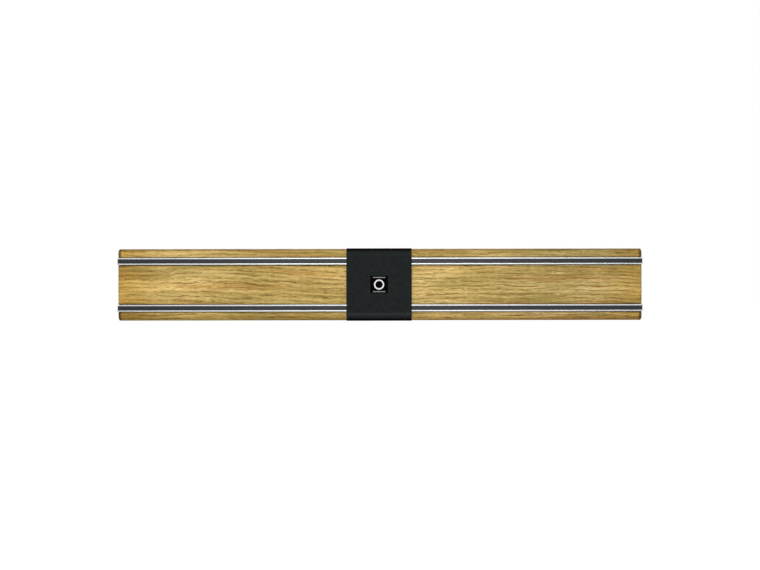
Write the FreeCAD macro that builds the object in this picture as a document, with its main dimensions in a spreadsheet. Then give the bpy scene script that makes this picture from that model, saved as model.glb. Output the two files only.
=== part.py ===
"""Magnetic knife rack: an oak board with two magnetic rails, keyhole hangers and a folded card sleeve.

Frame: +X along the board, +Z up, -Y towards the room. The wall plane is Y = 0, and the origin lies on it,
midway between the two keyholes. Units are millimetres.
"""

import FreeCAD
import Part
import Sketcher
import math
import os

from FreeCAD import Vector

# ---------------------------------------------------------------------------------------------------------
# Driving dimensions
# ---------------------------------------------------------------------------------------------------------

SIZES = {
    # oak board
    "board_length": 450,
    "board_height": 61.7,
    "board_depth": 20,
    "front_round": 4.5,
    "back_round": 1.5,
    "end_round": 1.2,
    # rails: two steel strips with ferrite magnets between them, set in a groove
    "rail_spacing": 40.2,
    "groove_depth": 9.5,
    "groove_clearance": 0.05,
    "groove_chamfer": 0.5,
    "strip_thickness": 1.25,
    "strip_proud": 3,
    "strip_round": 0.3,
    "magnet_thickness": 3.5,
    "magnet_recess": 0.8,
    "magnets_per_rail": 9,
    "magnet_joint": 0.05,
    # keyhole hanger plates, let in flush with the back of the board
    "hanger_spacing": 350,
    "hanger_length": 44,
    "hanger_height": 20,
    "hanger_thickness": 1.5,
    "hanger_rise": 3,
    "hanger_clearance": 0.2,
    "keyhole_radius": 4.5,
    "keyslot_width": 4.6,
    "keyslot_rise": 8,
    "head_room_radius": 4.75,
    "head_room_depth": 7,
    # countersunk screws that hold the hanger plates
    "screw_spacing": 30,
    "screw_length": 9,
    "screw_tip": 2,
    "screw_shank_radius": 1.3,
    "screw_head_radius": 2.5,
    "screw_rim": 0.15,
    "screw_sink": 0.05,
    "screw_hole_clearance": 0.1,
    "pilot_clearance": 0.02,
    "seat_clearance": 0.02,
    "drive_length": 3,
    "drive_width": 0.7,
    "drive_depth": 1.1,
    # card sleeve, folded round the board and taped to itself at the back
    "card_thickness": 0.3,
    "card_clearance": 0.15,
    "sleeve_width": 56,
    "sleeve_shift": -0.8,
    "lap_start": 12,
    "lap_overlap": 15,
    "tape_thickness": 0.1,
    "tape_margin": 2.5,
    "label_side": 15.5,
    "label_thickness": 0.1,
}


class Measure:
    """A length together with the expression on the sheet that gives it."""

    def __init__(self, text, value):
        self.text = text
        self.value = value

    def __str__(self):
        return self.text

    def __float__(self):
        return float(self.value)

    def __neg__(self):
        return Measure(f"(-{self})", -self.value)

    def __add__(self, other):
        return Measure(f"({self} + {other})", self.value + float(other))

    def __sub__(self, other):
        return Measure(f"({self} - {other})", self.value - float(other))

    def __mul__(self, other):
        return Measure(f"({self} * {other})", self.value * float(other))

    def __truediv__(self, other):
        return Measure(f"({self} / {other})", self.value / float(other))

    __rmul__ = __mul__


class Sheet:
    """The driving dimensions, as named cells of a spreadsheet."""

    def __init__(self, document, sizes):
        cells = document.addObject("Spreadsheet::Sheet", "Sizes")
        for row, (alias, value) in enumerate(sizes.items(), start=1):
            cells.set(f"A{row}", alias)
            cells.set(f"B{row}", str(value))
            cells.setAlias(f"B{row}", alias)
            setattr(self, alias, Measure(f"Sizes.{alias}", value))


doc = FreeCAD.newDocument("knife_rack")
size = Sheet(doc, SIZES)
doc.recompute()

# Places that several pieces share.
HALF_LENGTH = size.board_length / 2
HALF_HEIGHT = size.board_height / 2
FRONT = -size.board_depth
GROOVE_FLOOR = FRONT + size.groove_depth
RAIL_FRONT = FRONT - size.strip_proud
RAIL_CENTRE = size.rail_spacing / 2
RAIL_HALF = size.magnet_thickness / 2 + size.strip_thickness
HANGER_CENTRE = size.hanger_spacing / 2
HANGER_REACH = (size.hanger_length - size.hanger_height) / 2
SCREW_REACH = size.screw_spacing / 2
SCREW_FLOOR = -size.screw_length - size.screw_sink - size.pilot_clearance
SCREW_MOUTH = size.screw_head_radius + size.screw_rim + size.screw_sink + size.seat_clearance
CARD_MIDDLE = size.card_clearance + size.card_thickness / 2
ZERO = Measure("0", 0)

SIDES = {"left": -1, "right": 1}
RAILS = {"upper": 1, "lower": -1}
SKETCH_ORIGIN = (-1, 1)
START, END, CENTRE = 1, 2, 3
TOLERANCE = 1e-4


# ---------------------------------------------------------------------------------------------------------
# Sketches and features
# ---------------------------------------------------------------------------------------------------------


def new_sketch(body, name, plane):
    """An empty sketch on one of the body's own origin planes."""
    planes = {feature.Role: feature for feature in body.Origin.OriginFeatures}
    sketch = body.newObject("Sketcher::SketchObject", name)
    sketch.AttachmentSupport = (planes[plane], [""])
    sketch.MapMode = "FlatFace"
    return sketch


def bind(sketch, kind, references, measure):
    """Adds a dimension bound to a measure."""
    index = sketch.addConstraint(Sketcher.Constraint(kind, *references, float(measure)))
    sketch.setExpression(f"Constraints[{index}]", str(measure))


def place(sketch, geometry, point, across, up):
    """Fixes a point of the sketch at two measures from the sketch's origin."""
    bind(sketch, "DistanceX", (*SKETCH_ORIGIN, geometry, point), across)
    bind(sketch, "DistanceY", (*SKETCH_ORIGIN, geometry, point), up)


def add_outline(sketch, corners):
    """A closed outline of straight lines through corners that lie at measures."""
    first = sketch.GeometryCount
    lines = range(first, first + len(corners))
    points = [Vector(float(across), float(up)) for across, up in corners]
    for start, end in zip(points, points[1:] + points[:1]):
        sketch.addGeometry(Part.LineSegment(start, end))
    for line, following in zip(lines, [*lines[1:], first]):
        sketch.addConstraint(Sketcher.Constraint("Coincident", line, END, following, START))
    for line, corner in zip(lines, corners):
        place(sketch, line, START, *corner)


def add_rectangle(sketch, left, bottom, right, top):
    """A rectangle whose sides lie at measures."""
    add_outline(sketch, [(left, bottom), (right, bottom), (right, top), (left, top)])


def add_circle(sketch, across, up, radius):
    """A circle with its centre and radius at measures."""
    centre = Vector(float(across), float(up))
    circle = sketch.addGeometry(Part.Circle(centre, Vector(0, 0, 1), float(radius)))
    place(sketch, circle, CENTRE, across, up)
    bind(sketch, "Radius", (circle,), radius)


def add_slot(sketch, ends, radius):
    """A slot with round ends, whose two centres lie at measures."""
    centres = [Vector(float(across), float(up)) for across, up in ends]
    along = (centres[1] - centres[0]).normalize()
    heading = math.atan2(along.y, along.x)
    side = Vector(-along.y, along.x) * float(radius)
    quarter = math.pi / 2
    circles = [Part.Circle(centre, Vector(0, 0, 1), float(radius)) for centre in centres]
    outline = [
        Part.ArcOfCircle(circles[0], heading + quarter, heading + 3 * quarter),
        Part.LineSegment(centres[0] - side, centres[1] - side),
        Part.ArcOfCircle(circles[1], heading - quarter, heading + quarter),
        Part.LineSegment(centres[1] + side, centres[0] + side),
    ]
    indices = [sketch.addGeometry(piece) for piece in outline]
    for piece, following in zip(indices, indices[1:] + indices[:1]):
        sketch.addConstraint(Sketcher.Constraint("Tangent", piece, END, following, START))
    place(sketch, indices[0], CENTRE, *ends[0])
    place(sketch, indices[2], CENTRE, *ends[1])
    bind(sketch, "Radius", (indices[0],), radius)


def pad(body, sketch, length, kind="One side"):
    """Extrudes a sketch into material."""
    feature = body.newObject("PartDesign::Pad", sketch.Name + "_pad")
    feature.Profile = sketch
    feature.SideType = kind
    feature.setExpression("Length", str(length))
    doc.recompute()


def cut(body, sketch, kind, **settings):
    """Cuts a sketch out of the body with a Pocket or a Groove, and sees that it removes material."""
    before = body.Shape.Volume
    feature = body.newObject(f"PartDesign::{kind}", sketch.Name + "_cut")
    feature.Profile = sketch
    for name, setting in settings.items():
        if isinstance(setting, Measure):
            feature.setExpression(name, str(setting))
        else:
            setattr(feature, name, setting)
    doc.recompute()
    if not body.Shape.Volume < before - TOLERANCE:
        raise ValueError(f"{feature.Label} cuts nothing")


def cut_to(body, sketch, depth):
    """Cuts a sketch on the wall plane into the body as far as depth."""
    cut(body, sketch, "Pocket", Reversed=True, Length=depth)


def cut_through(body, sketch):
    """Cuts a sketch right through the body, both ways."""
    cut(body, sketch, "Pocket", SideType="Symmetric", Type="ThroughAll")


def dress(body, kind, name, wanted, dimension, measure):
    """A fillet or chamfer on those edges of the body for which wanted holds."""
    edges = [f"Edge{number}" for number, edge in enumerate(body.Shape.Edges, start=1) if wanted(edge)]
    base = body.Tip
    feature = body.newObject(f"PartDesign::{kind}", name)
    feature.Base = (base, edges)
    feature.setExpression(dimension, str(measure))
    doc.recompute()


def near(value, measure):
    """Whether a coordinate lies at a measure."""
    return abs(value - float(measure)) < TOLERANCE


def runs_lengthwise(edge):
    """Whether both ends of an edge lie on one line along X."""
    first, last = edge.Vertexes[0], edge.Vertexes[-1]
    return near(first.Y, last.Y) and near(first.Z, last.Z) and not near(first.X, last.X)


def screw_holes(body, name, centre, clearance):
    """The two countersunk holes for the screws of the hanger at centre, with a clearance round the shanks."""
    radius = size.screw_shank_radius + clearance
    for end_name, end in SIDES.items():
        sketch = new_sketch(body, f"{name}_{end_name}_screw_hole", "XY_Plane")
        sketch.setExpression(".AttachmentOffset.Base.x", str(centre + end * SCREW_REACH))
        sketch.setExpression(".AttachmentOffset.Base.z", str(size.hanger_rise))
        corners = [
            (ZERO, ZERO),
            (ZERO, SCREW_FLOOR),
            (radius, SCREW_FLOOR),
            (radius, radius - SCREW_MOUTH),
            (SCREW_MOUTH, ZERO),
        ]
        add_outline(sketch, corners)
        cut(body, sketch, "Groove", ReferenceAxis=(sketch, ["V_Axis"]))


# ---------------------------------------------------------------------------------------------------------
# Oak board: one planed length with two grooves in front and two recesses behind
# ---------------------------------------------------------------------------------------------------------


def round_long_edges(body, name, plane, radius):
    """Rounds the two long edges whose distance from the wall is plane."""

    def on_long_edge(edge):
        corner = edge.Vertexes[0]
        return runs_lengthwise(edge) and near(corner.Y, plane) and near(abs(corner.Z), HALF_HEIGHT)

    dress(body, "Fillet", name, on_long_edge, "Radius", radius)


def round_ends(body):
    """Eases the whole outline of both ends."""

    def on_end(edge):
        return all(near(abs(vertex.X), HALF_LENGTH) for vertex in edge.Vertexes) and not runs_lengthwise(edge)

    dress(body, "Fillet", "end_outlines", on_end, "Radius", size.end_round)


def cut_grooves(body):
    """The two grooves that the rails are pressed into, right along the board, with eased lips."""
    sketch = new_sketch(body, "grooves", "YZ_Plane")
    half = RAIL_HALF + size.groove_clearance
    for side in RAILS.values():
        centre = side * RAIL_CENTRE
        add_rectangle(sketch, 2 * FRONT, centre - half, GROOVE_FLOOR, centre + half)
    cut_through(body, sketch)

    def on_lip(edge):
        beside_groove = near(abs(abs(edge.Vertexes[0].Z) - float(RAIL_CENTRE)), half)
        return runs_lengthwise(edge) and beside_groove and not near(edge.Vertexes[0].Y, GROOVE_FLOOR)

    dress(body, "Chamfer", "groove_lips", on_lip, "Size", size.groove_chamfer)


def cut_hanger_recesses(body):
    """Behind each hanger: a flush seat for the plate, room for a screw head, and two pilot holes."""
    seats = new_sketch(body, "hanger_seats", "XZ_Plane")
    rooms = new_sketch(body, "head_rooms", "XZ_Plane")
    for side in SIDES.values():
        centre = side * HANGER_CENTRE
        seat_ends = [(centre + end * HANGER_REACH, size.hanger_rise) for end in SIDES.values()]
        add_slot(seats, seat_ends, size.hanger_height / 2 + size.hanger_clearance)
        add_slot(rooms, [(centre, ZERO), (centre, size.keyslot_rise)], size.head_room_radius)
    cut_to(body, seats, size.hanger_thickness)
    cut_to(body, rooms, size.head_room_depth)
    for name, side in SIDES.items():
        screw_holes(body, f"{name}_pilot", side * HANGER_CENTRE, size.pilot_clearance)


def oak_board():
    body = doc.addObject("PartDesign::Body", "oak_board")
    outline = new_sketch(body, "board_section", "YZ_Plane")
    add_rectangle(outline, FRONT, -HALF_HEIGHT, ZERO, HALF_HEIGHT)
    pad(body, outline, size.board_length, "Symmetric")
    round_long_edges(body, "front_edges", FRONT, size.front_round)
    round_long_edges(body, "back_edges", ZERO, size.back_round)
    round_ends(body)
    cut_grooves(body)
    cut_hanger_recesses(body)
    return body


# ---------------------------------------------------------------------------------------------------------
# Rails: each is two steel strips on edge, with a row of ferrite bars between them
# ---------------------------------------------------------------------------------------------------------


def steel_strip(name, centre):
    """One strip with its front edges and corners eased. centre is the height of its mid-plane."""
    body = doc.addObject("PartDesign::Body", name)
    section = new_sketch(body, name + "_section", "YZ_Plane")
    half = size.strip_thickness / 2
    add_rectangle(section, RAIL_FRONT, -half, GROOVE_FLOOR, half)
    pad(body, section, size.board_length, "Symmetric")

    def in_front(edge):
        return all(near(vertex.Y, RAIL_FRONT) for vertex in edge.Vertexes)

    dress(body, "Fillet", name + "_eased", in_front, "Radius", size.strip_round)
    body.setExpression("Placement.Base.z", str(centre))
    return body


def thin_block(name, corner, lengths):
    """A rectangular piece, given the measures of its lowest corner and of its three lengths."""
    block = doc.addObject("Part::Box", name)
    for dimension, length in zip(("Length", "Width", "Height"), lengths):
        block.setExpression(dimension, str(length))
    for axis, position in zip("xyz", corner):
        block.setExpression(f"Placement.Base.{axis}", str(position))
    return block


def rail(name, centre, outward):
    """One rail at the height centre. outward is 1 if the board's nearer long edge lies above it, or -1."""
    offset = (size.magnet_thickness + size.strip_thickness) / 2
    pieces = [
        steel_strip(f"{name}_rail_outer_strip", centre + outward * offset),
        steel_strip(f"{name}_rail_inner_strip", centre - outward * offset),
    ]
    pitch = size.board_length / size.magnets_per_rail
    magnet_front = RAIL_FRONT + size.magnet_recess
    lengths = (pitch - size.magnet_joint, GROOVE_FLOOR - magnet_front, size.magnet_thickness)
    for number in range(size.magnets_per_rail.value):
        left = number * pitch - HALF_LENGTH + size.magnet_joint / 2
        corner = (left, magnet_front, centre - size.magnet_thickness / 2)
        pieces.append(thin_block(f"{name}_rail_magnet_{number + 1}", corner, lengths))
    return pieces


# ---------------------------------------------------------------------------------------------------------
# Hangers: steel keyhole plates and the countersunk screws that hold them
# ---------------------------------------------------------------------------------------------------------


def hanger_plate(name, across):
    """A keyhole plate with the keyhole's round entry at the body's origin, which lies at across along X."""
    body = doc.addObject("PartDesign::Body", name)
    outline = new_sketch(body, name + "_outline", "XZ_Plane")
    ends = [(end * HANGER_REACH, size.hanger_rise) for end in SIDES.values()]
    add_slot(outline, ends, size.hanger_height / 2)
    pad(body, outline, size.hanger_thickness)
    entry = new_sketch(body, name + "_entry", "XZ_Plane")
    add_circle(entry, ZERO, ZERO, size.keyhole_radius)
    cut_through(body, entry)
    keyslot = new_sketch(body, name + "_keyslot", "XZ_Plane")
    add_slot(keyslot, [(ZERO, ZERO), (ZERO, size.keyslot_rise)], size.keyslot_width / 2)
    cut_through(body, keyslot)
    screw_holes(body, name, ZERO, size.screw_hole_clearance)
    body.setExpression("Placement.Base.x", str(across))
    return body


def hanger_screw(name, across):
    """A countersunk wood screw with a cross-shaped drive, its head just under the wall plane."""
    body = doc.addObject("PartDesign::Body", name)
    profile = new_sketch(body, name + "_profile", "XY_Plane")
    head = size.screw_head_radius
    shank = size.screw_shank_radius
    corners = [
        (ZERO, ZERO),
        (ZERO, -size.screw_length),
        (shank, size.screw_tip - size.screw_length),
        (shank, shank - head - size.screw_rim),
        (head, -size.screw_rim),
        (head, ZERO),
    ]
    add_outline(profile, corners)
    turned = body.newObject("PartDesign::Revolution", name + "_turned")
    turned.Profile = profile
    turned.ReferenceAxis = (profile, ["V_Axis"])
    doc.recompute()
    long_half = size.drive_length / 2
    narrow_half = size.drive_width / 2
    for bar, half_across, half_up in (("level", long_half, narrow_half), ("upright", narrow_half, long_half)):
        drive = new_sketch(body, f"{name}_{bar}_drive", "XZ_Plane")
        add_rectangle(drive, -half_across, -half_up, half_across, half_up)
        cut_to(body, drive, size.drive_depth)
    body.setExpression("Placement.Base.x", str(across))
    body.setExpression("Placement.Base.y", str(-size.screw_sink))
    body.setExpression("Placement.Base.z", str(size.hanger_rise))
    return body


def hanger(name, centre):
    """One keyhole plate at centre along X, with its two screws."""
    pieces = [hanger_plate(f"{name}_hanger_plate", centre)]
    for end_name, end in SIDES.items():
        pieces.append(hanger_screw(f"{name}_hanger_{end_name}_screw", centre + end * SCREW_REACH))
    return pieces


# ---------------------------------------------------------------------------------------------------------
# Card sleeve: one strip of card folded round the board, lapped and taped at the back
# ---------------------------------------------------------------------------------------------------------


def card_folds():
    """The folds in order from the inner lap: centre across, centre up and radius of the card's middle."""
    edge_across = FRONT + size.front_round
    edge_up = HALF_HEIGHT - size.front_round
    rail_across = RAIL_FRONT + size.strip_round
    rail_up = RAIL_CENTRE + RAIL_HALF - size.strip_round
    back_up = HALF_HEIGHT - size.back_round
    lap_rise = size.card_thickness + size.tape_thickness
    back_radius = size.back_round + CARD_MIDDLE
    edge_radius = size.front_round + CARD_MIDDLE
    rail_radius = size.strip_round + CARD_MIDDLE
    return [
        (-size.back_round, back_up, back_radius),
        (edge_across, edge_up, edge_radius),
        (rail_across, rail_up, rail_radius),
        (rail_across, -rail_up, rail_radius),
        (edge_across, -edge_up, edge_radius),
        (-size.back_round, lap_rise - back_up, back_radius + lap_rise),
    ]


def add_fold_path(sketch):
    """The line along the middle of the card: flat panels joined by tangent folds."""
    folds = card_folds()
    circles = [(Vector(float(across), float(up)), float(radius)) for across, up, radius in folds]
    turn = 2 * math.pi
    headings = [0.0]
    for (centre, radius), (next_centre, next_radius) in zip(circles, circles[1:]):
        way = next_centre - centre
        lean = math.acos((radius - next_radius) / way.Length)
        headings.append((math.atan2(way.y, way.x) - lean) % turn)
    headings.append(turn)
    lap_end = size.lap_start + size.lap_overlap
    points = [Vector(float(CARD_MIDDLE), float(size.lap_start))]
    for (centre, radius), arrival, departure in zip(circles, headings, headings[1:]):
        for heading in (arrival, departure):
            points.append(centre + Vector(math.cos(heading), math.sin(heading)) * radius)
    points.append(Vector(points[-1].x, float(lap_end)))
    for index, (centre, radius) in enumerate(circles):
        sketch.addGeometry(Part.LineSegment(points[2 * index], points[2 * index + 1]))
        circle = Part.Circle(centre, Vector(0, 0, 1), radius)
        sketch.addGeometry(Part.ArcOfCircle(circle, headings[index], headings[index + 1]))
    last = sketch.addGeometry(Part.LineSegment(points[-2], points[-1]))
    for piece in range(last):
        sketch.addConstraint(Sketcher.Constraint("Tangent", piece, END, piece + 1, START))
    for index, (across, up, radius) in enumerate(folds):
        place(sketch, 2 * index + 1, CENTRE, across, up)
        bind(sketch, "Radius", (2 * index + 1,), radius)
    for lap, point, height in ((0, START, size.lap_start), (last, END, lap_end)):
        sketch.addConstraint(Sketcher.Constraint("Vertical", lap))
        bind(sketch, "DistanceY", (*SKETCH_ORIGIN, lap, point), height)


def card_sleeve():
    body = doc.addObject("PartDesign::Body", "card_sleeve")
    path = new_sketch(body, "fold_path", "YZ_Plane")
    add_fold_path(path)
    card_edge = new_sketch(body, "card_edge", "XY_Plane")
    card_edge.setExpression(".AttachmentOffset.Base.z", str(size.lap_start))
    half_width = size.sleeve_width / 2
    inner = size.card_clearance
    add_rectangle(card_edge, -half_width, inner, half_width, inner + size.card_thickness)
    doc.recompute()
    folded = body.newObject("PartDesign::AdditivePipe", "folded_card")
    folded.Profile = card_edge
    folded.Spine = (path, [f"Edge{number + 1}" for number in range(path.GeometryCount)])
    doc.recompute()
    body.setExpression("Placement.Base.x", str(size.sleeve_shift))
    return body


def lap_tape():
    """Double-sided tape that joins the two laps at the back of the sleeve."""
    width = size.sleeve_width - 2 * size.tape_margin
    corner = (
        size.sleeve_shift - width / 2,
        size.card_clearance + size.card_thickness,
        size.lap_start + size.tape_margin,
    )
    lengths = (width, size.tape_thickness, size.lap_overlap - 2 * size.tape_margin)
    return thin_block("lap_tape", corner, lengths)


def front_label():
    """A small square label on the front of the sleeve."""
    card_face = RAIL_FRONT - size.card_clearance - size.card_thickness
    half = size.label_side / 2
    corner = (size.sleeve_shift - half, card_face - size.label_thickness, -half)
    return thin_block("front_label", corner, (size.label_side, size.label_thickness, size.label_side))


# ---------------------------------------------------------------------------------------------------------
# Build, check and export
# ---------------------------------------------------------------------------------------------------------

pieces = [oak_board()]
for rail_name, rail_side in RAILS.items():
    pieces += rail(rail_name, rail_side * RAIL_CENTRE, rail_side)
for hanger_name, hanger_side in SIDES.items():
    pieces += hanger(hanger_name, hanger_side * HANGER_CENTRE)
pieces += [card_sleeve(), lap_tape(), front_label()]
doc.recompute()

for item in doc.Objects:
    if "Invalid" in item.State or "Error" in item.State:
        raise ValueError(f"{item.Label} failed: {item.State}")
for item in pieces:
    if item.Shape.isNull() or not item.Shape.isValid() or not item.Shape.Solids:
        raise ValueError(f"{item.Label} has no valid solid")

os.makedirs("parts", exist_ok=True)
for item in pieces:
    item.Shape.exportStep(f"parts/{item.Label}.step")
    print(f"{item.Label}: {item.Shape.Volume:.2f} mm3")
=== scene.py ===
import math

import bpy
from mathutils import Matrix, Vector


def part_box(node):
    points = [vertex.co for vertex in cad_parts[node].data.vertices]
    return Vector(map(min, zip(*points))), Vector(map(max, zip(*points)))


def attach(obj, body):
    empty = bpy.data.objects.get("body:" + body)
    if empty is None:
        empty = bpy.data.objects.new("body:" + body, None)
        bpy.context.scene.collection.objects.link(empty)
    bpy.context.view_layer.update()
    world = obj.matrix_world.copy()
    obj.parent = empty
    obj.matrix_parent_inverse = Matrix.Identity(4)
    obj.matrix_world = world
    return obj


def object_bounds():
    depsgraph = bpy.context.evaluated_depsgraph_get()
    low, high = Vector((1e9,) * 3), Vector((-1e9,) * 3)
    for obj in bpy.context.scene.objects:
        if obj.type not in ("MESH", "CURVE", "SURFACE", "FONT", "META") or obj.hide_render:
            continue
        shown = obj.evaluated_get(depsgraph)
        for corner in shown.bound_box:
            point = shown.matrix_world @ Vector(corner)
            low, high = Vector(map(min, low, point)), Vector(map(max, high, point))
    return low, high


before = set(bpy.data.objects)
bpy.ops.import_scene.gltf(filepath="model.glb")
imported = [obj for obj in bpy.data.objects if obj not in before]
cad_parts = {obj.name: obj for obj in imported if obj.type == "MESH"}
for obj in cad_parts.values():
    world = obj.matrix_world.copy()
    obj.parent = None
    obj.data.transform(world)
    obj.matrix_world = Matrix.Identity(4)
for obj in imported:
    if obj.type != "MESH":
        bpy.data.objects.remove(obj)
bpy.context.view_layer.update()
cad_low, cad_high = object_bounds()

# ----------------------------------------------------------------------------------------------------
# Oak board
# The body of the rack is one planed length of rift-sawn oak. Its long edges are rounded with a router,
# two grooves are cut along its front for the rails, and it is rubbed with a thin hard-wax oil.
# ----------------------------------------------------------------------------------------------------

MM_PER_METRE = 1000.0


def set_inputs(tree, node, values):
    """Sets a node's inputs, each to a plain value or to another node's output."""
    for socket, value in values.items():
        if isinstance(value, bpy.types.NodeSocket):
            tree.links.new(value, node.inputs[socket])
        else:
            node.inputs[socket].default_value = value


def add_node(tree, kind, values=None, **settings):
    """Adds a shader node with its settings and its inputs' values."""
    node = tree.nodes.new("ShaderNode" + kind)
    for name, setting in settings.items():
        setattr(node, name, setting)
    set_inputs(tree, node, values or {})
    return node


def calculate(tree, operation, *values):
    """The result of a sum on numbers."""
    return add_node(tree, "Math", dict(enumerate(values)), operation=operation).outputs[0]


def calculate_vector(tree, operation, *values):
    """The result of a sum on vectors."""
    return add_node(tree, "VectorMath", dict(enumerate(values)), operation=operation).outputs[0]


def split(tree, vector):
    """A vector's three numbers."""
    return add_node(tree, "SeparateXYZ", {0: vector}).outputs


def ramp(tree, value, low, high):
    """A smooth rise from 0 at low to 1 at high, or a fall if low is the greater."""
    if low > high:
        return calculate(tree, "SUBTRACT", 1.0, ramp(tree, value, high, low))
    limits = {"Value": value, "From Min": low, "From Max": high}
    return add_node(tree, "MapRange", limits, interpolation_type="SMOOTHSTEP").outputs["Result"]


def vary(tree, mask, at_0, at_1):
    """A number that goes from at_0 where a mask is 0 to at_1 where it is 1."""
    return calculate(tree, "MULTIPLY_ADD", mask, at_1 - at_0, at_0)


def mix_colours(tree, amount, first, second, mode="MIX"):
    """The first colour with some of the second in it. The sockets are a Mix node's colour ones."""
    sockets = {0: amount, 6: first, 7: second}
    return add_node(tree, "Mix", sockets, data_type="RGBA", blend_type=mode).outputs[2]


def add_marks(tree, colour, mask, marks, share):
    """A colour with marks of another one on it, of which a given share shows where the mask is 1."""
    return mix_colours(tree, calculate(tree, "MULTIPLY", mask, share), colour, marks)


def new_group(name, inputs, outputs):
    """An empty shader group. Returns its tree, what comes in by name, and where its results go."""
    tree = bpy.data.node_groups.new(name, "ShaderNodeTree")
    for label, (kind, default) in inputs.items():
        socket = tree.interface.new_socket(label, in_out="INPUT", socket_type="NodeSocket" + kind)
        socket.default_value = default
    for label, kind in outputs.items():
        tree.interface.new_socket(label, in_out="OUTPUT", socket_type="NodeSocket" + kind)
    given = tree.nodes.new("NodeGroupInput").outputs
    result = tree.nodes.new("NodeGroupOutput").inputs
    return tree, given, result


def use_group(tree, group, values):
    """Places a group in a material, and returns what it puts out."""
    node = tree.nodes.new("ShaderNodeGroup")
    node.node_tree = group
    set_inputs(tree, node, values)
    return node.outputs


def new_material(name, settings):
    """A material whose Principled shader has the plain settings given."""
    material = bpy.data.materials.new(name)
    material.use_nodes = True
    shader = material.node_tree.nodes["Principled BSDF"]
    for socket, value in settings.items():
        shader.inputs[socket].default_value = value
    return material, material.node_tree, shader


def point_in_mm(tree):
    """Where a point of the surface lies in the object's own frame, in millimetres."""
    point = add_node(tree, "TexCoord").outputs["Object"]
    return calculate_vector(tree, "MULTIPLY", point, (MM_PER_METRE,) * 3)


def connect(tree, shader, height, depth_mm, **values):
    """Joins results to a Principled shader's inputs, with a height in [0, 1] as relief depth_mm deep."""
    settings = {"Height": height, "Strength": 1.0, "Distance": depth_mm / MM_PER_METRE}
    relief = add_node(tree, "Bump", settings)
    tree.links.new(relief.outputs["Normal"], shader.inputs["Normal"])
    for socket, value in values.items():
        tree.links.new(value, shader.inputs[socket.replace("_", " ")])


def finish_node(node, material):
    """Gives a piece of the frame its finish."""
    for material_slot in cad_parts[node].material_slots:
        material_slot.material = material


# Long soft streaks, as in wood grain, rolled metal or paper fibre: noise stretched to a cell size.
streak_group, given, result = new_group(
    "streaks",
    {
        "Point": ("Vector", (0.0, 0.0, 0.0)),
        "Cell": ("Vector", (10.0, 1.0, 1.0)),
        "Detail": ("Float", 1.0),
        "Low": ("Float", 0.0),
        "High": ("Float", 1.0),
    },
    {"Mask": "Float"},
)
stretched = calculate_vector(streak_group, "DIVIDE", given["Point"], given["Cell"])
noise = add_node(streak_group, "TexNoise", {"Vector": stretched, "Scale": 1.0, "Detail": given["Detail"]})
limits = {"Value": noise.outputs[0], "From Min": given["Low"], "From Max": given["High"]}
shaped = add_node(streak_group, "MapRange", limits, interpolation_type="SMOOTHSTEP")
streak_group.links.new(shaped.outputs["Result"], result["Mask"])


def streaks(tree, point, cell, low=0.0, high=1.0, detail=1.0):
    """Places the streaks group. cell is a streak's size in millimetres, along, into and up the board."""
    values = {"Point": point, "Cell": cell, "Low": low, "High": high, "Detail": detail}
    return use_group(tree, streak_group, values)["Mask"]


# The log's pith lies behind and below the board, so the rings cross its front at a slant. The place in
# the log that the board is cut from sets where its bands and belts of colour fall.
PITH_DEPTH = 62.0
PITH_HEIGHT = -118.0
RING_WIDTH = 2.9
YEARS_ALIKE = 0.4
STRAW_YEARS = (0.35, 0.65)
EARLY_WOOD_STARTS = (0.0, 0.14)
EARLY_WOOD_ENDS = (0.7, 0.3)
PLACE_IN_LOG = (700.0, 200.0, 450.0)

# The fibres lean up over the board's length, and sway by so many millimetres in each size of cell.
GRAIN_SLOPE = 0.012
SWAYS = (((210.0, 90.0, 80.0), 12.0), ((48.0, 16.0, 12.0), 3.0), ((17.0, 8.0, 7.0), 1.5))

# What streaks needs for each mark of the grain: its cell, where it starts and is full, and its detail.
BANDS = ((170.0, 20.0, 17.0), 0.36, 0.64, 1.0)
BELTS = ((60.0, 4.0, 3.6), 0.3, 0.7, 2.0)
RUDDY_BELTS = ((95.0, 8.0, 6.0), 0.46, 0.7, 2.0)
GREENISH_BELTS = ((80.0, 6.0, 4.5), 0.46, 0.7, 2.0)
FIBRES = ((24.0, 0.5, 0.5), 0.28, 0.72, 4.0)
GRIT = ((3.0, 0.6, 0.6), 0.28, 0.72, 3.0)
STROKES = ((24.0, 0.7, 0.6), 0.53, 0.63, 2.0)
FINE_PORES = ((5.0, 0.22, 0.22), 0.58, 0.63)
LONG_PORES = ((9.0, 0.42, 0.4), 0.61, 0.65)
RAYS = ((5.0, 12.0, 0.6), 0.58, 0.66, 2.0)
RAY_PATCHES = ((40.0, 16.0, 12.0), 0.5, 0.64)
END_PORES = ((9.0, 0.3, 0.3), 0.52, 0.6)
END_RAYS = ((9.0, 5.0, 0.3), 0.6, 0.66)

HONEY = (0.618, 0.424, 0.128, 1.0)
STRAW = (0.670, 0.484, 0.174, 1.0)
RUDDY = (0.548, 0.314, 0.082, 1.0)
GREENISH = (0.502, 0.366, 0.102, 1.0)
STROKE = (0.230, 0.135, 0.028, 1.0)
PORE = (0.110, 0.060, 0.015, 1.0)
RAY = (0.660, 0.490, 0.190, 1.0)
WARMTH_OF_SHADE = 1.5

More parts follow.
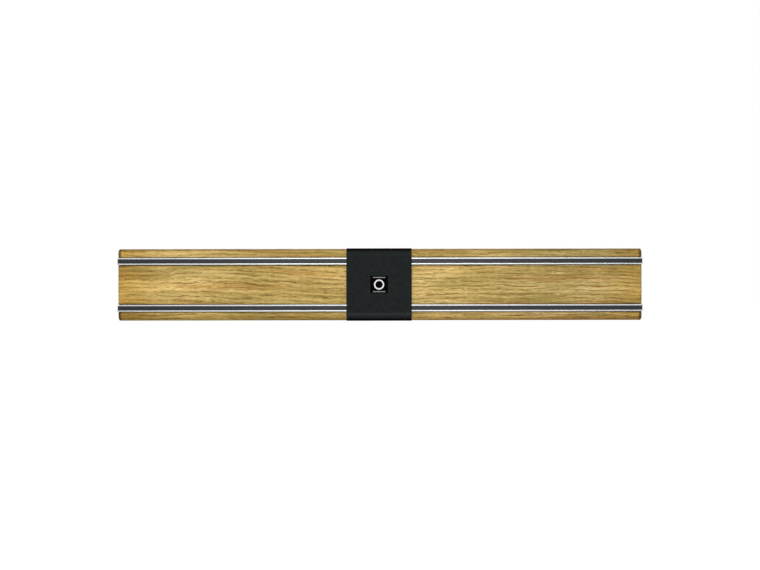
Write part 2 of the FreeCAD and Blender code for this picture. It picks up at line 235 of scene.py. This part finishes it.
# These multiply the colour of the wood. Each starts and is full at the two places given, in millimetres,
# but for the end grain, which starts and is full as the surface turns to face along the board.
HEARTWARD = (0.80, 0.83, 0.90, 1.0)
HEARTWARD_ALONG = (-40.0, 225.0)
OIL_SOAKED = (0.80, 0.69, 0.43, 1.0)
OIL_SOAKED_ALONG = (178.0, 226.0)
OILED_END = (0.54, 0.46, 0.44, 1.0)
FACING_ALONG = (0.1, 0.6)
# Painted shade on the rounded long edges, reaching farther round the bottom one.
PAINTED_EDGE_SHADE = (0.58, 0.53, 0.40, 1.0)
EDGE_SHADE_ABOVE = (28.0, 30.6)
EDGE_SHADE_BELOW = (-22.5, -30.6)
EDGE_SHADE_FORWARD = (-13.0, -15.5)
# Painted shade on the front corners at the board's ends.
PAINTED_CORNER_SHADE = (0.32, 0.31, 0.24, 1.0)
CORNER_SHADE_ALONG = (221.8, 223.2)
CORNER_SHADE_FROM_MIDDLE = (22.5, 23.5)
# Painted shade in a thin line beside each rail.
PAINTED_RAIL_SHADE = (0.40, 0.38, 0.38, 1.0)
RAIL_SHADE_FROM_RAIL = (1.1, 0.5)
FRONT_OF_BOARD = (-16.0, -17.0)


def shade_by(tree, colour, mask, at_0, at_1):
    """A colour made darker or lighter, as vary makes a number. Darker wood is also the warmer."""
    level = vary(tree, mask, at_0, at_1)
    blue = calculate(tree, "POWER", level, WARMTH_OF_SHADE)
    tint = add_node(tree, "CombineColor", {0: level, 1: level, 2: blue}).outputs[0]
    return mix_colours(tree, 1.0, colour, tint, "MULTIPLY")


def groove_line(tree, height):
    """1 in the narrow chamfers beside the rails, where a line of painted shade goes."""
    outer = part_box("upper_rail_outer_strip")[1].z * MM_PER_METRE
    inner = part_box("upper_rail_inner_strip")[0].z * MM_PER_METRE
    offset = calculate(tree, "SUBTRACT", calculate(tree, "ABSOLUTE", height), (outer + inner) / 2)
    gap = calculate(tree, "SUBTRACT", calculate(tree, "ABSOLUTE", offset), (outer - inner) / 2)
    return ramp(tree, gap, *RAIL_SHADE_FROM_RAIL)


def oiled_oak():
    """Solid oak: rings about the pith, pores and fibres along X, and rays that point at the pith."""
    material, tree, shader = new_material("oiled_oak", {"Specular IOR Level": 0.14})
    point = point_in_mm(tree)
    along, depth, true_height = split(tree, point)

    # The fibres don't run quite true to the board, and everything in the grain follows their lean.
    lean = 0.0
    for cell, sway in SWAYS:
        lean = calculate(tree, "MULTIPLY_ADD", streaks(tree, point, cell), sway, lean)
    lean = calculate(tree, "MULTIPLY_ADD", along, GRAIN_SLOPE, lean)
    height = calculate(tree, "ADD", true_height, lean)
    grain = add_node(tree, "CombineXYZ", {0: along, 1: depth, 2: height}).outputs[0]
    log = calculate_vector(tree, "ADD", grain, PLACE_IN_LOG)

    # A year's ring is pale and open early on, then dense. The denser wood has half as many pores.
    up = calculate(tree, "SUBTRACT", height, PITH_HEIGHT)
    deep = calculate(tree, "SUBTRACT", depth, PITH_DEPTH)
    from_pith = add_node(tree, "CombineXYZ", {0: up, 1: deep}).outputs[0]
    radius = add_node(tree, "VectorMath", {0: from_pith}, operation="LENGTH").outputs["Value"]
    rings = calculate(tree, "DIVIDE", radius, RING_WIDTH)
    phase = calculate(tree, "FRACT", rings)
    starting = ramp(tree, phase, *EARLY_WOOD_STARTS)
    ending = ramp(tree, phase, *EARLY_WOOD_ENDS)
    early = calculate(tree, "MULTIPLY", starting, ending)
    openness = vary(tree, early, 0.5, 1.0)
    years = {"W": rings, "Scale": YEARS_ALIKE, "Detail": 1.0}
    year = add_node(tree, "TexNoise", years, noise_dimensions="1D").outputs[0]

    fibres = streaks(tree, grain, *FIBRES)
    strokes = calculate(tree, "MULTIPLY", streaks(tree, grain, *STROKES), openness)
    fine_pores = streaks(tree, grain, *FINE_PORES)
    long_pores = streaks(tree, grain, *LONG_PORES)
    pores = calculate(tree, "MAXIMUM", fine_pores, long_pores)
    pores = calculate(tree, "MULTIPLY", pores, openness)

    # Rays lie in the plane of the length and the radius. They shine in patches, where the cut meets them.
    turn = calculate(tree, "MULTIPLY", calculate(tree, "ARCTAN2", up, deep), -PITH_HEIGHT)
    polar = add_node(tree, "CombineXYZ", {0: along, 1: radius, 2: turn}).outputs[0]
    ray_share = vary(tree, streaks(tree, point, *RAY_PATCHES), 0.08, 0.68)
    rays = calculate(tree, "MULTIPLY", streaks(tree, polar, *RAYS), ray_share)

    from_middle = calculate(tree, "ABSOLUTE", along)
    colour = mix_colours(tree, ramp(tree, year, *STRAW_YEARS), HONEY, STRAW)
    colour = mix_colours(tree, streaks(tree, log, *RUDDY_BELTS), colour, RUDDY)
    colour = mix_colours(tree, streaks(tree, log, *GREENISH_BELTS), colour, GREENISH)
    colour = shade_by(tree, colour, streaks(tree, log, *BANDS), 0.80, 1.20)
    colour = shade_by(tree, colour, streaks(tree, log, *BELTS), 0.90, 1.08)
    colour = shade_by(tree, colour, early, 1.05, 0.92)
    heartward = ramp(tree, along, *HEARTWARD_ALONG)
    colour = mix_colours(tree, heartward, colour, HEARTWARD, "MULTIPLY")
    soaked = ramp(tree, from_middle, *OIL_SOAKED_ALONG)
    colour = mix_colours(tree, soaked, colour, OIL_SOAKED, "MULTIPLY")
    colour = mix_colours(tree, rays, colour, RAY)
    colour = add_marks(tree, colour, strokes, STROKE, share=0.85)
    colour = add_marks(tree, colour, pores, PORE, share=0.75)
    colour = shade_by(tree, colour, fibres, 0.80, 1.17)
    colour = shade_by(tree, colour, streaks(tree, grain, *GRIT), 0.90, 1.12)

    # End grain drinks more oil, and shows its rays as spokes and its early wood as rows of pores.
    facing = split(tree, add_node(tree, "NewGeometry").outputs["Normal"])[0]
    end_grain = ramp(tree, calculate(tree, "ABSOLUTE", facing), *FACING_ALONG)
    end_pores = calculate(tree, "MULTIPLY", streaks(tree, grain, *END_PORES), early)
    end_detail = mix_colours(tree, streaks(tree, polar, *END_RAYS), colour, RAY)
    end_detail = shade_by(tree, end_detail, end_pores, 1.1, 0.35)
    end_detail = shade_by(tree, end_detail, early, 1.12, 0.82)
    colour = mix_colours(tree, end_grain, colour, end_detail)
    colour = mix_colours(tree, end_grain, colour, OILED_END, "MULTIPLY")

    # Painted shade: the rounded long edges are darker, the lower one the more, and so are the front
    # corners at the ends and a thin line beside each rail.
    above = ramp(tree, true_height, *EDGE_SHADE_ABOVE)
    below = ramp(tree, true_height, *EDGE_SHADE_BELOW)
    edge_shade = calculate(tree, "MAXIMUM", above, below)
    edge_shade = calculate(tree, "MULTIPLY", edge_shade, ramp(tree, depth, *EDGE_SHADE_FORWARD))
    colour = mix_colours(tree, edge_shade, colour, PAINTED_EDGE_SHADE, "MULTIPLY")
    front = ramp(tree, depth, *FRONT_OF_BOARD)
    # Painted shade on the front corners at the ends of the board.
    near_end = ramp(tree, from_middle, *CORNER_SHADE_ALONG)
    near_edge = ramp(tree, calculate(tree, "ABSOLUTE", true_height), *CORNER_SHADE_FROM_MIDDLE)
    corner = calculate(tree, "MULTIPLY", near_end, near_edge)
    corner_shade = calculate(tree, "MULTIPLY", corner, front)
    colour = mix_colours(tree, corner_shade, colour, PAINTED_CORNER_SHADE, "MULTIPLY")
    # Painted shade in a thin line beside each rail.
    rail_shade = calculate(tree, "MULTIPLY", groove_line(tree, true_height), front)
    colour = mix_colours(tree, rail_shade, colour, PAINTED_RAIL_SHADE, "MULTIPLY")

    # Pores are the deepest marks. Strokes are shallower, and the fibres stand up a little between them.
    relief = calculate(tree, "SUBTRACT", calculate(tree, "MULTIPLY", fibres, 0.25), pores)
    relief = calculate(tree, "MULTIPLY_ADD", strokes, -0.3, relief)
    roughness = vary(tree, pores, 0.55, 0.80)
    connect(tree, shader, relief, depth_mm=0.05, Base_Color=colour, Roughness=roughness)
    return material


finish_node("oak_board", oiled_oak())

# ----------------------------------------------------------------------------------------------------
# Steel strips
# Each rail has two ground flats of mild steel on edge, pressed and glued into the groove. Their front
# edges are what the blades touch, so they are brushed along their length and lightly eased.
# ----------------------------------------------------------------------------------------------------

STRIPS = [f"{rail}_rail_{place}_strip" for rail in ("upper", "lower") for place in ("outer", "inner")]
BRUSHED_LINES = ((55.0, 0.09, 0.09), 0.3, 0.7, 2.0)
STEEL_CLOUDS = ((22.0, 6.0, 6.0), 0.35, 0.65, 3.0)
STEEL_IN_LINE = (0.30, 0.315, 0.322, 1.0)
STEEL_BETWEEN = (0.385, 0.395, 0.395, 1.0)
CLOUDED_STEEL = (0.26, 0.267, 0.275, 1.0)
RUBBED_STEEL = (0.46, 0.46, 0.46, 1.0)
STRIP_EDGE = 0.35

# Rubbed edges: 1 along the edges of a box, 0 farther than the reach from them, broken up a little.
edge_group, given, result = new_group(
    "edge_wear",
    {
        "Point": ("Vector", (0.0, 0.0, 0.0)),
        "Centre": ("Vector", (0.0, 0.0, 0.0)),
        "Half Size": ("Vector", (1.0, 1.0, 1.0)),
        "Reach": ("Float", 1.0),
    },
    {"Mask": "Float"},
)
offset = calculate_vector(edge_group, "SUBTRACT", given["Point"], given["Centre"])
offset = calculate_vector(edge_group, "ABSOLUTE", offset)
inside = calculate_vector(edge_group, "SUBTRACT", given["Half Size"], offset)
nearness = []
for inset in split(edge_group, inside):
    share = calculate(edge_group, "DIVIDE", inset, given["Reach"])
    nearness.append(calculate(edge_group, "SUBTRACT", 1.0, share))
pairs = [
    calculate(edge_group, "MINIMUM", nearness[first], nearness[second])
    for first, second in ((0, 1), (1, 2), (2, 0))
]
nearest = calculate(edge_group, "MAXIMUM", calculate(edge_group, "MAXIMUM", pairs[0], pairs[1]), pairs[2])
patches = {"Vector": given["Point"], "Scale": 0.7, "Detail": 3.0}
breakup = add_node(edge_group, "TexNoise", patches).outputs[0]
rubbed = calculate(edge_group, "ADD", nearest, calculate(edge_group, "SUBTRACT", breakup, 0.5))
edge_group.links.new(ramp(edge_group, rubbed, 0.15, 0.85), result["Mask"])


def edge_wear(tree, point, node, reach):
    """Places the edge wear group round the box of a node. reach is in millimetres."""
    low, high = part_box(node)
    values = {
        "Point": point,
        "Centre": tuple((low + high) / 2 * MM_PER_METRE),
        "Half Size": tuple((high - low) / 2 * MM_PER_METRE),
        "Reach": reach,
    }
    return use_group(tree, edge_group, values)["Mask"]


def brushed_strip(node):
    """Steel brushed along X, a little brighter where its edges are rubbed."""
    settings = {"Metallic": 1.0, "Anisotropic": 0.4}
    material, tree, shader = new_material("brushed_steel_" + node, settings)
    point = point_in_mm(tree)
    lines = streaks(tree, point, *BRUSHED_LINES)
    clouds = streaks(tree, point, *STEEL_CLOUDS)
    colour = mix_colours(tree, lines, STEEL_IN_LINE, STEEL_BETWEEN)
    colour = add_marks(tree, colour, clouds, CLOUDED_STEEL, share=0.25)
    colour = mix_colours(tree, edge_wear(tree, point, node, STRIP_EDGE), colour, RUBBED_STEEL)
    roughness = vary(tree, lines, 0.24, 0.38)
    connect(tree, shader, lines, depth_mm=0.004, Base_Color=colour, Roughness=roughness)
    return material


for strip in STRIPS:
    finish_node(strip, brushed_strip(strip))

# ----------------------------------------------------------------------------------------------------
# Ferrite bars
# Between the strips lies a row of sintered hard-ferrite bars, butted end to end and set in epoxy.
# Ferrite is a dark grey ceramic, ground flat, with small pits and a faint sheen.
# ----------------------------------------------------------------------------------------------------

MAGNETS = sorted(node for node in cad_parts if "_magnet_" in node)
BARS_IN_ROW = len(MAGNETS) / 2
GRINDING = ((26.0, 0.12, 0.12), 0.3, 0.7, 2.0)
PITS = ((0.35, 0.35, 0.35), 0.66, 0.74)
CHIPPED_NEAR_JOINT = (0.494, 0.4995)
DARK_FERRITE = (0.0062, 0.0080, 0.0098, 1.0)
LIGHT_FERRITE = (0.0102, 0.0125, 0.0148, 1.0)
GROUND_FERRITE = (0.016, 0.020, 0.023, 1.0)
PIT = (0.005, 0.005, 0.006, 1.0)
CHIPPED_FERRITE = (0.08, 0.08, 0.085, 1.0)


def ground_ferrite():
    """Dark grey ceramic. Every bar has a tone of its own, and paler chips where two bars meet."""
    material, tree, shader = new_material("ground_ferrite", {"Specular IOR Level": 0.2})
    point = point_in_mm(tree)
    along, _, height = split(tree, point)
    low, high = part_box("oak_board")
    pitch = (high.x - low.x) * MM_PER_METRE / BARS_IN_ROW
    from_end = calculate(tree, "SUBTRACT", along, low.x * MM_PER_METRE)
    bars = calculate(tree, "DIVIDE", from_end, pitch)
    number = {0: calculate(tree, "FLOOR", bars), 1: calculate(tree, "SIGN", height)}
    bar = add_node(tree, "CombineXYZ", number).outputs[0]
    tone = add_node(tree, "TexWhiteNoise", {"Vector": bar}).outputs[0]
    from_middle = calculate(tree, "SUBTRACT", calculate(tree, "FRACT", bars), 0.5)
    from_middle = calculate(tree, "ABSOLUTE", from_middle)
    chipped = ramp(tree, from_middle, *CHIPPED_NEAR_JOINT)
    grinding = streaks(tree, point, *GRINDING)
    pits = streaks(tree, point, *PITS)
    colour = mix_colours(tree, tone, DARK_FERRITE, LIGHT_FERRITE)
    colour = add_marks(tree, colour, grinding, GROUND_FERRITE, share=0.4)
    colour = add_marks(tree, colour, pits, PIT, share=0.7)
    colour = add_marks(tree, colour, chipped, CHIPPED_FERRITE, share=0.2)
    relief = calculate(tree, "SUBTRACT", calculate(tree, "MULTIPLY", grinding, 0.3), pits)
    roughness = vary(tree, grinding, 0.26, 0.38)
    connect(tree, shader, relief, depth_mm=0.02, Base_Color=colour, Roughness=roughness)
    return material


ferrite = ground_ferrite()
for magnet in MAGNETS:
    finish_node(magnet, ferrite)

# ----------------------------------------------------------------------------------------------------
# Hanger plates and screws
# Two keyhole plates are stamped from rolled steel and zinc-plated, and let in flush with the back. Each
# is held by two zinc-plated countersunk screws with a cross drive.
# ----------------------------------------------------------------------------------------------------

PLATES = ["left_hanger_plate", "right_hanger_plate"]
SCREWS = sorted(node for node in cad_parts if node.endswith("_screw"))
PLATE_EDGE = 0.7
PLATE_CRYSTAL = 1.1
SCREW_EDGE = 0.4
SCREW_CRYSTAL = 0.4
ZINC_FILM = ((9.0, 4.0, 4.0), 0.35, 0.68, 3.0)
ROLLED_LINES = ((14.0, 0.1, 0.1), 0.3, 0.7, 2.0)
BLUE_ZINC = (0.25, 0.265, 0.29, 1.0)
GREY_ZINC = (0.345, 0.352, 0.355, 1.0)
ZINC_CRYSTAL = (0.46, 0.47, 0.48, 1.0)
RUBBED_ZINC = (0.52, 0.52, 0.51, 1.0)


def zinc_plate(node, reach, crystal):
    """Zinc over rolled steel: a cloudy blue-grey film, with crystals of a given size in millimetres."""
    material, tree, shader = new_material("zinc_" + node, {"Metallic": 1.0})
    point = point_in_mm(tree)
    film = streaks(tree, point, *ZINC_FILM)
    rolled = streaks(tree, point, *ROLLED_LINES)
    cells = add_node(tree, "TexVoronoi", {"Vector": point, "Scale": 1 / crystal}).outputs["Color"]
    spangle = split(tree, cells)[0]
    colour = mix_colours(tree, film, BLUE_ZINC, GREY_ZINC)
    colour = add_marks(tree, colour, spangle, ZINC_CRYSTAL, share=0.35)
    colour = mix_colours(tree, edge_wear(tree, point, node, reach), colour, RUBBED_ZINC)
    height = calculate(tree, "MULTIPLY_ADD", rolled, 0.6, calculate(tree, "MULTIPLY", film, 0.4))
    roughness = calculate(tree, "MULTIPLY_ADD", film, 0.16, vary(tree, spangle, 0.26, 0.34))
    connect(tree, shader, height, depth_mm=0.01, Base_Color=colour, Roughness=roughness)
    return material


for plate in PLATES:
    finish_node(plate, zinc_plate(plate, PLATE_EDGE, PLATE_CRYSTAL))
for screw in SCREWS:
    finish_node(screw, zinc_plate(screw, SCREW_EDGE, SCREW_CRYSTAL))

# ----------------------------------------------------------------------------------------------------
# Card sleeve
# A strip of black card, dyed through, is scored, folded round the board and lapped at the back. Its
# front has a painted sheen just inside each long edge and painted shade on the folds, and it holds fine
# fibres and a little lint.
# ----------------------------------------------------------------------------------------------------

CARD_FIBRES = ((1.4, 0.4, 0.3), 0.3, 0.7, 4.0)
CARD_MOTTLE = ((3.5, 3.5, 3.5), 0.3, 0.7, 4.0)
LINT = ((0.9, 0.3, 0.3), 0.77, 0.82)
DARK_CARD = (0.0088, 0.0112, 0.0112, 1.0)
LIGHT_CARD = (0.0128, 0.0160, 0.0157, 1.0)
CARD_FIBRE = (0.019, 0.022, 0.022, 1.0)
# Painted sheen, for the bands just inside the long edges of the front.
PAINTED_CARD_SHEEN = (0.024, 0.029, 0.030, 1.0)
# Painted shade, for the rounded folds.
PAINTED_FOLD_SHADE = (0.0012, 0.0012, 0.0012, 1.0)
LINT_GREY = (0.12, 0.12, 0.12, 1.0)
FRONT_OF_SLEEVE = (-12.0, -15.0)
FOLD_SHADE_FROM_MIDDLE = (28.2, 29.9)
SHEEN_FADE = (1.9, 0.6)

# Each band of painted sheen: how far from the middle it lies in millimetres, which way, and how strong it
# is.
SHEEN_BANDS = ((25.8, 1, 0.25), (25.4, -1, 0.8))


def black_card():
    """Uncoated black card with fine fibre relief, rougher folds with painted shade, painted sheen bands
    and a few specks of lint.
    """
    material, tree, shader = new_material("black_card", {"Specular IOR Level": 0.03})
    point = point_in_mm(tree)
    fibres = streaks(tree, point, *CARD_FIBRES)
    mottle = streaks(tree, point, *CARD_MOTTLE)
    lint = streaks(tree, point, *LINT)
    colour = mix_colours(tree, mottle, DARK_CARD, LIGHT_CARD)
    colour = add_marks(tree, colour, fibres, CARD_FIBRE, share=0.35)
    _, depth, height = split(tree, point)
    front = ramp(tree, depth, *FRONT_OF_SLEEVE)
    # Painted sheen in a band just inside each long edge of the front, stronger along the bottom.
    for sheen_height, side, strength in SHEEN_BANDS:
        from_sheen = calculate(tree, "MULTIPLY_ADD", height, side, -sheen_height)
        near_sheen = ramp(tree, calculate(tree, "ABSOLUTE", from_sheen), *SHEEN_FADE)
        sheen = calculate(tree, "MULTIPLY", near_sheen, front)
        colour = add_marks(tree, colour, sheen, PAINTED_CARD_SHEEN, share=strength)
    # Painted shade on the folds, which are also rougher.
    near_fold = ramp(tree, calculate(tree, "ABSOLUTE", height), *FOLD_SHADE_FROM_MIDDLE)
    fold_rim = calculate(tree, "MULTIPLY", near_fold, front)
    colour = mix_colours(tree, fold_rim, colour, PAINTED_FOLD_SHADE)
    colour = add_marks(tree, colour, lint, LINT_GREY, share=0.5)
    roughness = calculate(tree, "MAXIMUM", vary(tree, fibres, 0.65, 0.75), fold_rim)
    connect(tree, shader, fibres, depth_mm=0.035, Base_Color=colour, Roughness=roughness)
    return material


finish_node("card_sleeve", black_card())

# ----------------------------------------------------------------------------------------------------
# Lap tape
# Double-sided tape joins the two laps of the sleeve. Only its edges can be seen, as a cloudy film
# between the two layers of card.
# ----------------------------------------------------------------------------------------------------

CRINKLES = ((1.2, 1.2, 3.0), 0.35, 0.65, 2.0)
DULL_CREAM = (0.62, 0.60, 0.50, 1.0)
PALE_CREAM = (0.72, 0.70, 0.62, 1.0)


def cloudy_film():
    """Translucent tape, seen as a cream film with fine crinkles."""
    material, tree, shader = new_material("cloudy_film", {"Specular IOR Level": 0.5})
    crinkles = streaks(tree, point_in_mm(tree), *CRINKLES)
    colour = mix_colours(tree, crinkles, DULL_CREAM, PALE_CREAM)
    roughness = vary(tree, crinkles, 0.3, 0.45)
    connect(tree, shader, crinkles, depth_mm=0.01, Base_Color=colour, Roughness=roughness)
    return material


finish_node("lap_tape", cloudy_film())

# ----------------------------------------------------------------------------------------------------
# Front label
# A small square label is stuck to the middle of the sleeve. It is printed in a rich black, with a plain
# ring between two short bars that stands for no maker.
# ----------------------------------------------------------------------------------------------------

INK_THICKNESS = 0.00002
RING_RADIUS = 0.0043
RING_LINE = 0.0011
RING_STEPS = 72
BAR_SIZE = (0.0106, 0.0008)
BAR_HEIGHT = 0.0061
LABEL_EDGE = 0.25
PRINTED_DOTS = ((0.3, 0.3, 0.3), 0.35, 0.65)
INK_COVER = ((0.25, 0.25, 0.25), 0.3, 0.6, 2.0)
DEEP_BLACK = (0.0005, 0.0005, 0.0006, 1.0)
SOFT_BLACK = (0.0014, 0.0014, 0.0016, 1.0)
RUBBED_BLACK = (0.03, 0.03, 0.03, 1.0)
WHITE_INK = ((0.80, 0.80, 0.79, 1.0), (0.68, 0.68, 0.68, 1.0))
GREY_INK = ((0.22, 0.22, 0.22, 1.0), (0.14, 0.14, 0.14, 1.0))


def rich_black():
    """Black ink over coated paper, with a very fine dot."""
    material, tree, shader = new_material("rich_black", {"Specular IOR Level": 0.005})
    point = point_in_mm(tree)
    dots = streaks(tree, point, *PRINTED_DOTS)
    colour = mix_colours(tree, dots, DEEP_BLACK, SOFT_BLACK)
    wear = edge_wear(tree, point, "front_label", LABEL_EDGE)
    colour = mix_colours(tree, wear, colour, RUBBED_BLACK)
    roughness = vary(tree, dots, 0.3, 0.4)
    connect(tree, shader, dots, depth_mm=0.003, Base_Color=colour, Roughness=roughness)
    return material


def printed_ink(name, light, dark):
    """Pale ink with a slightly uneven cover."""
    material, tree, shader = new_material(name, {"Specular IOR Level": 0.2})
    cover = streaks(tree, point_in_mm(tree), *INK_COVER)
    colour = mix_colours(tree, cover, dark, light)
    roughness = vary(tree, cover, 0.6, 0.5)
    connect(tree, shader, cover, depth_mm=0.002, Base_Color=colour, Roughness=roughness)
    return material


def raise_outline(name, rims, material):
    """A flat printed shape on the label, as thick as ink, from one rim of points (across, up) or two."""
    low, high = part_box("front_label")
    centre = (low + high) / 2
    points, faces = [], []
    for depth in (low.y, low.y - INK_THICKNESS):
        for rim in rims:
            points += [(centre.x + across, depth, centre.z + up) for across, up in rim]
    count = len(rims[0])
    layer = count * len(rims)
    for step in range(count):
        following = (step + 1) % count
        faces.append([following, layer + following, layer + step, step])
        if len(rims) == 2:
            inner, inner_following = count + step, count + following
            faces.append([layer + step, layer + following, layer + inner_following, layer + inner])
            faces.append([inner, layer + inner, layer + inner_following, inner_following])
            faces.append([following, step, inner, inner_following])
    if len(rims) == 1:
        faces.append([layer + step for step in range(count)])
        faces.append([step for step in reversed(range(count))])
    mesh = bpy.data.meshes.new(name)
    mesh.from_pydata(points, [], faces)
    mesh.materials.append(material)
    piece = bpy.data.objects.new(name, mesh)
    bpy.context.scene.collection.objects.link(piece)
    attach(piece, "sleeve")


finish_node("front_label", rich_black())
white_ink = printed_ink("white_ink", *WHITE_INK)
grey_ink = printed_ink("grey_ink", *GREY_INK)
turns = [2 * math.pi * step / RING_STEPS for step in range(RING_STEPS)]
ring_rims = [
    [(radius * math.cos(turn), radius * math.sin(turn)) for turn in turns]
    for radius in (RING_RADIUS, RING_RADIUS - RING_LINE)
]
raise_outline("label_ring", ring_rims, white_ink)
half_across, half_up = BAR_SIZE[0] / 2, BAR_SIZE[1] / 2
for bar, middle in (("upper", BAR_HEIGHT), ("lower", -BAR_HEIGHT)):
    left, right = -half_across, half_across
    bottom, top = middle - half_up, middle + half_up
    rim = [(left, bottom), (right, bottom), (right, top), (left, top)]
    raise_outline(f"label_{bar}_bar", [rim], grey_ink)

# ----------------------------------------------------------------------------------------------------
# Studio
# The rack is held clear of a pale floor. It is lit by a tall soft lamp in front and above, a broad one
# behind, a weak one at each side, and the white room. The camera looks at it square on.
# ----------------------------------------------------------------------------------------------------

FLOOR_DROP = 0.30
FLOOR_HALF = 6.0
FLOOR_MOTTLE = ((90.0, 90.0, 90.0), 0.3, 0.7, 3.0)
FLOOR_GREY = (0.84, 0.84, 0.84, 1.0)
FLOOR_PALE = (0.86, 0.86, 0.86, 1.0)
FADE_AWAY = (330.0, 1100.0)
WHITE = (1.0, 1.0, 1.0, 1.0)
ROOM_LIGHT = 0.30
VIEW_WIDTH = 0.6531
CAMERA_DISTANCE = 1.0
CAMERA_DROP = 0.0004
CAMERA_ROLL = 0.09


def seen_directly(tree):
    """1 for what the camera sees straight, mirrored or through glass, and 0 for light on the object."""
    path = add_node(tree, "LightPath").outputs
    seen = calculate(tree, "MAXIMUM", path["Is Camera Ray"], path["Is Glossy Ray"])
    return calculate(tree, "MAXIMUM", seen, path["Is Transmission Ray"])


def pale_floor():
    """A plain pale floor that keeps shadows, fades to white farther off, and hides nothing from below."""
    settings = {"Roughness": 0.9, "Specular IOR Level": 0.0}
    material, tree, shader = new_material("pale_floor", settings)
    point = point_in_mm(tree)
    colour = mix_colours(tree, streaks(tree, point, *FLOOR_MOTTLE), FLOOR_GREY, FLOOR_PALE)
    tree.links.new(colour, shader.inputs["Base Color"])
    away = add_node(tree, "VectorMath", {0: point}, operation="LENGTH").outputs["Value"]
    fade = vary(tree, ramp(tree, away, *FADE_AWAY), 0.18, 0.78)
    shown = calculate(tree, "MULTIPLY", seen_directly(tree), fade)
    glow = add_node(tree, "Emission", {"Strength": shown}).outputs[0]
    lit = add_node(tree, "AddShader", {0: shader.outputs[0], 1: glow}).outputs[0]
    clear = add_node(tree, "BsdfTransparent").outputs[0]
    beneath = add_node(tree, "NewGeometry").outputs["Backfacing"]
    both = add_node(tree, "MixShader", {0: beneath, 1: lit, 2: clear}).outputs[0]
    tree.links.new(both, tree.nodes["Material Output"].inputs["Surface"])
    return material


floor_height = cad_low.z - FLOOR_DROP
floor_corners = [
    (x * FLOOR_HALF, y * FLOOR_HALF, floor_height)
    for x, y in ((-1, -1), (1, -1), (1, 1), (-1, 1))
]
floor_mesh = bpy.data.meshes.new("floor")
floor_mesh.from_pydata(floor_corners, [], [(0, 1, 2, 3)])
floor_mesh.materials.append(pale_floor())
floor = bpy.data.objects.new("floor", floor_mesh)
bpy.context.scene.collection.objects.link(floor)


def soft_lamp(name, place, width, height, power):
    """A rectangular lamp that faces the middle of the rack."""
    lamp = bpy.data.lights.new(name, "AREA")
    lamp.shape = "RECTANGLE"
    lamp.size = width
    lamp.size_y = height
    lamp.energy = power
    lamp_object = bpy.data.objects.new(name, lamp)
    lamp_object.location = place
    lamp_object.rotation_mode = "QUATERNION"
    lamp_object.rotation_quaternion = (-Vector(place)).to_track_quat("-Z", "Y")
    bpy.context.scene.collection.objects.link(lamp_object)


soft_lamp("front_lamp", (0.0, -1.85, 0.8), width=0.74, height=1.8, power=29.0)
soft_lamp("left_lamp", (-1.5, 0.3, 0.6), width=0.8, height=0.8, power=5.0)
soft_lamp("right_lamp", (1.5, 0.3, 0.6), width=0.8, height=0.8, power=5.0)
soft_lamp("back_lamp", (0.0, 1.7, 1.1), width=2.2, height=1.5, power=24.0)

world = bpy.data.worlds.new("white_room")
bpy.context.scene.world = world
world.use_nodes = True
brightness = vary(world.node_tree, seen_directly(world.node_tree), ROOM_LIGHT, 1.0)
background = world.node_tree.nodes["Background"]
set_inputs(world.node_tree, background, {"Color": WHITE, "Strength": brightness})

camera = bpy.data.cameras.new("camera")
camera.lens = camera.sensor_width * CAMERA_DISTANCE / VIEW_WIDTH
camera_object = bpy.data.objects.new("camera", camera)
camera_object.location = (0.0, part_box("oak_board")[0].y - CAMERA_DISTANCE, -CAMERA_DROP)
camera_object.rotation_euler = (math.radians(90), math.radians(CAMERA_ROLL), 0.0)
bpy.context.scene.collection.objects.link(camera_object)
bpy.context.scene.camera = camera_object
bpy.context.scene.view_settings.view_transform = "Standard"

bpy.context.view_layer.update()
